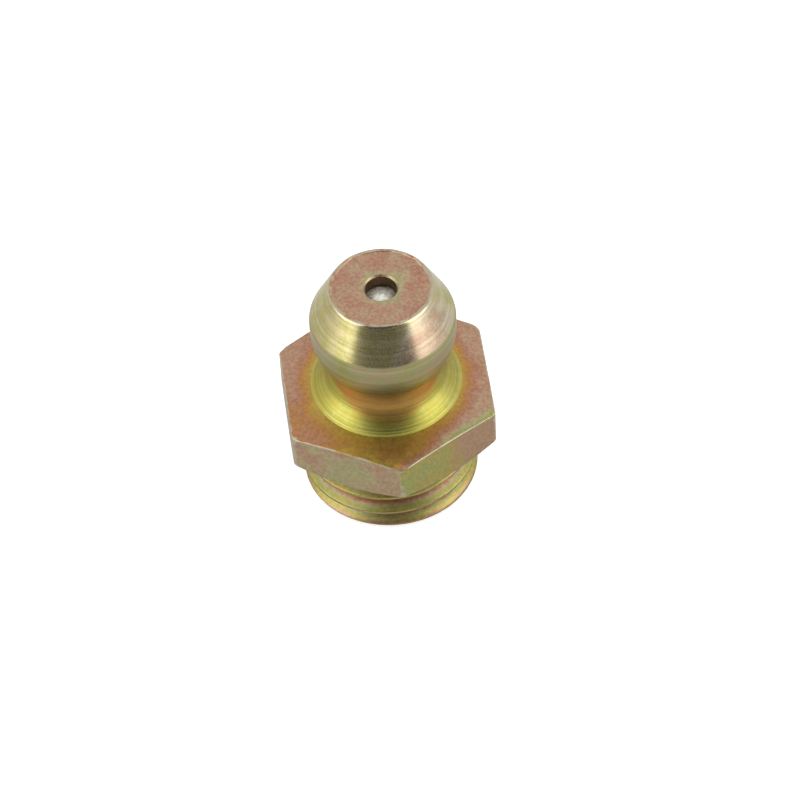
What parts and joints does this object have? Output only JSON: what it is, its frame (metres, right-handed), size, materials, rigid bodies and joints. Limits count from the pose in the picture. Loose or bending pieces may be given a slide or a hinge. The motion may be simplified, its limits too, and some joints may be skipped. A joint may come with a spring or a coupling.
{
  "type": "grease nipple",
  "caption": "Straight button-head grease nipple with a hexagon, a short threaded shank and a sprung ball check valve in its bore.",
  "frame": {"origin": "centre of the shank's end face, on the nipple's axis", "axes": "+Z along the axis from the shank to the head's face, +Y square to a pair of wrench flats, +X through two corners of the hexagon"},
  "size_m": [0.0104, 0.009, 0.012],
  "materials": {
    "yellow_zinc": "zinc plating with yellow chromate, iridescent pink to green, worn bright on the edges",
    "ball_steel": "polished bearing steel",
    "spring_steel": "bright drawn spring wire"
  },
  "bodies": {
    "body": {"nipple_body": "yellow_zinc", "spring": "spring_steel"},
    "ball": {"check_ball": "ball_steel"}
  },
  "joints": [
    {"name": "ball_slide", "type": "slide", "parent": "body", "child": "ball", "axis": [0, 0, -1], "range_m": [0, 0.001], "stiffness_N_per_m": 860, "deforming": ["spring"]}
  ]
}
